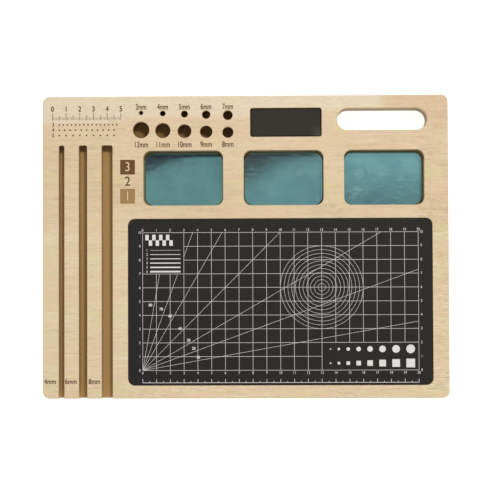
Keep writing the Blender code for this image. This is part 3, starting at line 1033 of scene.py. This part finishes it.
def grid_numbers(numbers, ink):
    """The numbers along the grid's four sides."""
    style = {"Size": 2.7 * MM, "Narrowing": 0.9, "First_Value": 0, "Value_Step": 1}
    columns = ("column_numbers", GRID_COLUMNS + 1, NEXT_COLUMN)
    rows = ("row_numbers", GRID_ROWS + 1, NEXT_ROW)
    sides = (
        (columns, (0, GRID_ROWS + 0.17)),
        (columns, (0, -0.19)),
        (rows, (-0.21, 0)),
        (rows, (GRID_COLUMNS + 0.21, 0)),
    )
    pieces = []
    for (name, count, step), place in sides:
        row = {"Count": count, "Step": step}
        pieces.append(printed_numbers(numbers, name, ink, on_grid(*place), **row, **style))
    printed("mat_numbers", pieces)


def angle_rays(numbers, ink):
    """The rays from the grid's front left corner, each with its angle."""
    lines = drawn_line_tree()
    ray = {"Line_Width": RAY_LINE, "Thickness": 2 * RAY_INK, "Material": ink}
    style = {"Size": 2.8 * MM, "Narrowing": 0.95, "Boldness": 0.07 * MM}
    label_distances = {10: 41.3, 20: 40.3, 30: 39.8, 45: 40.7, 60: 44.2, 70: 46.4, 80: 47.7}
    label_turn = 3.2  # Degrees from a ray to the middle of its number.
    key_top = GRID_ROWS - KEY_ROWS
    pieces = []
    for angle, distance in label_distances.items():
        slope = tan(radians(angle))
        stretches = [(0.0, min(GRID_COLUMNS, GRID_ROWS / slope))]
        if key_top / slope < KEY_COLUMNS:
            stretches = [(0.0, key_top / slope)]
            if KEY_COLUMNS * slope < GRID_ROWS:
                stretches.append((KEY_COLUMNS, GRID_ROWS / slope))
        for start, end in stretches:
            path = bpy.data.meshes.new("ray_path")
            ends = [on_grid(start, start * slope), on_grid(end, end * slope)]
            path.from_pydata(ends, [(0, 1)], [])
            pieces.append(piece_from("ray", lines.grow("ray", path, **ray)))
        turn = radians(angle + label_turn)
        spot = on_grid(distance * MM / CM * cos(turn), distance * MM / CM * sin(turn))
        label = {"First_Value": angle, **style}
        pieces.append(printed_numbers(numbers, "angle_number", ink, spot, **label))
    printed("mat_angles", pieces)


def target_rings(ink):
    """The concentric circles."""
    count = 11
    step = 3 * CM / count
    line = {"Line_Width": RING_LINE, "Thickness": 2 * RING_INK, "Material": ink}
    place = {"Count": count, "Centre": on_grid(GAUGE_COLUMN, 6)}
    rings = ring_set_tree().grow("rings", First_Radius=step, Radius_Step=step, **place, **line)
    printed("mat_rings", [piece_from("rings", rings)])


def dot_gauge(ink):
    """A row of round dots over a row of square ones, each a little larger than the last."""
    spots = []
    gap = 4.6 * MM
    smallest = 1.05
    growth = 0.75
    profile = [(0.0, MAT_HIGH.z - INK_THICKNESS), (0.0, MAT_HIGH.z + INK_THICKNESS)]
    x = GRID_LEFT + GAUGE_COLUMN * CM + 6.1 * MM
    for n in range(8):
        size = (smallest + growth * n) * MM
        for row, radius in ((1.52, size / 2), (0.50, 0.0)):
            centre = (x, GRID_FRONT + row * CM)
            spots.append(ring_solid("dot", centre, size, size, radius, profile, ink, 8))
        x += size / 2 + gap + (size + growth * MM) / 2
    printed("mat_dot_gauge", spots)


def line_gauge(bars, numbers, ink):
    """Six lines of rising width beside their numbers, under a plain chequered 20 mm bar."""
    pieces = []
    square = (0.25 * CM, 0.4 * CM, 2 * COLUMN_INK)
    for row, first in ((9.65, 0.0), (9.25, 1.0)):
        place = on_grid(0.2 + (first + 0.5) * 0.25, row)
        checks = {"Count": 4, "Step": (0.5 * CM, 0.0, 0.0)}
        pieces.append(printed_bars(bars, "check_bar", ink, place, square, **checks))
    top_line = 8.72
    pitch = 0.31
    for n in range(6):
        size = (2.2 * CM, (0.2 + 0.2 * n) * MM, 2 * COLUMN_INK)
        place = on_grid(1.65, top_line - pitch * n)
        pieces.append(printed_bars(bars, "sample_line", ink, place, size))
    style = {"Size": 2.6 * MM, "Narrowing": 0.9, "Step": (0.0, -pitch * CM, 0.0)}
    style |= {"Count": 6, "First_Value": 1, "Value_Step": 1}
    place = on_grid(0.32, top_line)
    pieces.append(printed_numbers(numbers, "line_numbers", ink, place, **style))
    printed("mat_line_gauge", pieces)


# ---- The magnet, the wells and the tapes ----


def build_magnet(material):
    """The magnet block, with its edges broken."""
    low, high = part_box("magnet_block")
    profile = block_profile(low.z, high.z, MAGNET_EDGE)
    block = ring_solid("magnet_bar", *footprint(low, high), MAGNET_RADIUS, profile, material, 5)
    soften(block)
    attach(block, "root")
    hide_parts("magnet_block")


def dress(node, material):
    """Gives a frame node its finish."""
    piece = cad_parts[node]
    for slot in piece.material_slots:
        slot.material = material


def rounded_place(u, v, length, width, radius):
    """A point of a rectangle, drawn in at the corners so that the rectangle is rounded."""
    corner_u = (abs(u) - (length / 2 - radius)) / radius
    corner_v = (abs(v) - (width / 2 - radius)) / radius
    if min(corner_u, corner_v) <= 0.0:
        return u, v
    drawn_u = length / 2 - radius + radius * corner_u * (1 - corner_v**2 / 2) ** 0.5
    drawn_v = width / 2 - radius + radius * corner_v * (1 - corner_u**2 / 2) ** 0.5
    return (drawn_u if u > 0 else -drawn_u), (drawn_v if v > 0 else -drawn_v)


def film_height(x, y, back_edge, seed, bubbles):
    """The film's rise or fall: faint waves, its pressed-down back edge, and the air bubbles."""
    waves = Vector((x / FILM_WAVE_LENGTH, y / FILM_WAVE_WIDTH, seed * 7.3))
    height = FILM_WAVE * noise.noise(waves)
    pressed = max(0.0, 1 - (back_edge - y) / PRESSED_REACH)
    height -= PRESSED_DEPTH * pressed**2
    for bubble_x, bubble_y, radius, rise in bubbles:
        nearness = 1 - ((x - bubble_x) ** 2 + (y - bubble_y) ** 2) / radius**2
        if nearness > 0:
            height += rise * nearness**2
    return height


def wavy_film(name, centre, length, width, low, high, seed, bubbles, material):
    """A closed sheet whose top follows film_height."""
    mesh = bmesh.new()
    columns = 96
    rows = 66
    layers = []
    for top in (False, True):
        grid = []
        for row in range(rows + 1):
            line = []
            for column in range(columns + 1):
                u = (column / columns - 0.5) * length
                v = (row / rows - 0.5) * width
                x, y = rounded_place(u, v, length, width, INSERT_RADIUS)
                z = high + film_height(x, y, width / 2, seed, bubbles) if top else low
                line.append(mesh.verts.new((centre[0] + x, centre[1] + y, z)))
            grid.append(line)
        layers.append(grid)
    for grid, turned in zip(layers, (True, False)):
        for row in range(rows):
            for column in range(columns):
                corners = [grid[row + b][column + a] for a, b in ((0, 0), (1, 0), (1, 1), (0, 1))]
                mesh.faces.new(reversed(corners) if turned else corners)
    bottom, top = [
        grid[0] + [line[-1] for line in grid[1:]] + grid[-1][-2::-1] + [l[0] for l in grid[-2:0:-1]]
        for grid in layers
    ]
    for n in range(len(bottom)):
        mesh.faces.new((bottom[n - 1], bottom[n], top[n], top[n - 1]))
    return piece_of(name, mesh, material)


def build_well(number, name, haze, nudge, bubbles, steel, tape):
    """A well's tape, plate and film. Their corners are rounder than the well's own."""
    low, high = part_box("well_plate_" + name)
    centre, length, width = footprint(low, high, -INSERT_SHRINK / 2)
    centre = (centre[0] + nudge[0], centre[1] + nudge[1])
    film_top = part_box("well_film_" + name)[1].z
    tape_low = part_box("well_tape_" + name)[0].z
    rings = [(centre[0] + x, centre[1] + y, radius) for x, y, radius, rise in bubbles]
    outer = (centre, length, width, INSERT_RADIUS)
    inset = 2 * PLATE_TAPE_INSET
    inner = (centre, length - inset, width - inset, INSERT_RADIUS)
    profile = block_profile(low.z, high.z, PLATE_EDGE)
    plate = ring_solid("steel_plate_" + name, *outer, profile, steel)
    backing = ring_solid("plate_tape_" + name, *inner, [(0.0, tape_low), (0.0, low.z)], tape)
    teal = teal_film("teal_film_" + name, number, haze, rings)
    levels = (high.z, film_top)
    name_of_film = "film_sheet_" + name
    film = wavy_film(name_of_film, centre, length, width, *levels, number, bubbles, teal)
    film.data.shade_smooth()
    film.data.set_sharp_from_angle(angle=radians(FILM_SHARP_OVER))
    for piece, kind in ((plate, "plate"), (backing, "tape"), (film, "film")):
        if kind != "film":
            soften(piece)
        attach(piece, "root")
        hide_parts("well_" + kind + "_" + name)


def build_wells(steel, tape):
    """The three wells' inserts, which lie a little off centre.

    A bubble is a place from the insert's centre, a radius and a rise. A pale patch doesn't rise."""
    bubble = (11.9 * MM, 4.5 * MM, 3.1 * MM, 0.006 * MM)
    speck = (24.9 * MM, -15.2 * MM, 1.5 * MM, 0.006 * MM)
    pale_patches = [(-17.4 * MM, 3.1 * MM, 3.9 * MM, 0.0), (-19.9 * MM, -9.2 * MM, 3.6 * MM, 0.0)]
    build_well(0, "left", 0.05, (-0.10 * MM, -0.05 * MM), [], steel, tape)
    build_well(1, "middle", 0.085, (0.05 * MM, -0.10 * MM), [bubble, speck], steel, tape)
    build_well(2, "right", 0.14, (-0.15 * MM, 0.0), pale_patches, steel, tape)


# ---- The studio ----

BROWN = (0.10, 0.04, 0.055)
RUSSET = (0.20, 0.08, 0.08)
GREY = (0.65, 0.65, 0.64)
SLATE = (0.40, 0.38, 0.39)
BRIGHT = (1.05, 1.05, 1.05)

# The corners of each card, in millimetres, on one level above the board. A few share an edge.
CARD_HEIGHT = 600.0 * MM
CARD_WEDGE = ((-121, 100), (-98, 109), (-65, 120))
CARD_SLOPE = ((-34, 84), (-15.6, 84.2), (4.2, 94.9), (19.5, 107), (34.8, 113.2), (53, 116.2))
FAR = 170
CARDS = (
    ("shade_left", GREY, ((-150, 50), (-28, 50), (-28, 120), *CARD_WEDGE[::-1], (-150, 97))),
    ("dark_left", BROWN, ((-150, 97), *CARD_WEDGE, (-56, 120.5), (-56, FAR), (-150, FAR))),
    ("dark_middle", RUSSET, (*CARD_SLOPE, (72, 120.5), (72, FAR), (-34, FAR))),
    ("dark_back", BROWN, ((-56, 120.5), (-34, 120.5), (-34, FAR), (-56, FAR))),
    ("shade_right", SLATE, ((88, 40), (230, 40), (230, 93), (88, 93))),
    ("bright_right", BRIGHT, ((85, 93), (230, 93), (230, 230), (85, 230))),
)

WHITE = (1.0, 1.0, 1.0, 1.0)
FLOOR_GREY = (0.5, 0.5, 0.5, 1.0)
FLOOR_GLOW = 0.84
FLOOR_REACH = 3.0
FLOOR_GAP = 0.3 * MM
SKY_STRENGTH = 0.75
KEY_SIZE = 0.28
KEY_WATTS = 21.5
KEY_DISTANCE = 2.2
KEY_TOWARDS = (0.27, 0.45, 1.0)

CAMERA_LENS = 112.68
CAMERA_SENSOR = 36.0
CAMERA_PLACE = (20.94 * MM, -29.48 * MM, 1135.22 * MM)
CAMERA_TURN = (radians(1.527), radians(1.052), radians(-0.206))


def studio_floor():
    finish = Finish("studio_floor", Roughness=0.9, Specular_IOR_Level=0.1, Base_Color=FLOOR_GREY)
    finish.shader.inputs["Emission Color"].default_value = WHITE
    finish.shader.inputs["Emission Strength"].default_value = FLOOR_GLOW
    height = UNDERSIDE - FLOOR_GAP
    turns = ((-1, -1), (1, -1), (1, 1), (-1, 1))
    corners = [(x * FLOOR_REACH, y * FLOOR_REACH, height) for x, y in turns]
    flat_piece("studio_floor", corners, finish.material)


def reflected_card(name, colour, corners):
    """A studio card overhead that shows only in glossy surfaces."""
    material = bpy.data.materials.new(name)
    material.use_nodes = True
    graph = Graph(material.node_tree)
    graph.tree.nodes.clear()
    glow = graph.node("ShaderNodeEmission", {"Color": (*colour, 1.0), "Strength": 1.0})
    leave = graph.tree.nodes.new("ShaderNodeOutputMaterial")
    graph.link(glow, leave, "Surface")
    places = [(x * MM, y * MM, CARD_HEIGHT) for x, y in corners]
    card = flat_piece(name, places, material)
    card.visible_camera = False
    card.visible_diffuse = False
    card.visible_shadow = False


def studio_light():
    world = bpy.data.worlds.new("studio")
    world.use_nodes = True
    world.node_tree.nodes["Background"].inputs["Color"].default_value = WHITE
    world.node_tree.nodes["Background"].inputs["Strength"].default_value = SKY_STRENGTH
    bpy.context.scene.world = world
    for card in CARDS:
        reflected_card(*card)
    light = bpy.data.lights.new("key_light", "AREA")
    light.shape = "DISK"
    light.size = KEY_SIZE
    light.energy = KEY_WATTS
    lamp = bpy.data.objects.new("key_light", light)
    towards = Vector(KEY_TOWARDS).normalized()
    lamp.location = towards * KEY_DISTANCE
    lamp.rotation_euler = towards.to_track_quat("Z", "Y").to_euler()
    bpy.context.scene.collection.objects.link(lamp)


def studio_camera():
    camera = bpy.data.cameras.new("camera")
    camera.lens = CAMERA_LENS
    camera.sensor_width = CAMERA_SENSOR
    eye = bpy.data.objects.new("camera", camera)
    eye.location = CAMERA_PLACE
    eye.rotation_euler = CAMERA_TURN
    bpy.context.scene.collection.objects.link(eye)
    bpy.context.scene.camera = eye
    bpy.context.scene.view_settings.view_transform = "Standard"


# ---- All of it ----

build_panel()

vinyl = mat_vinyl()
ink = white_ink()
build_mat(vinyl)
bars = bar_row_tree()
numbers = number_row_tree()
grid_lines(bars, ink)
edge_rule(bars, ink)
grid_numbers(numbers, ink)
angle_rays(numbers, ink)
target_rings(ink)
dot_gauge(ink)
line_gauge(bars, numbers, ink)

tape = adhesive_tape()
build_magnet(ferrite())
build_wells(bright_steel(), tape)
dress("mat_tape", tape)
dress("magnet_tape", tape)

studio_floor()
studio_light()
studio_camera()

bpy.context.view_layer.update()
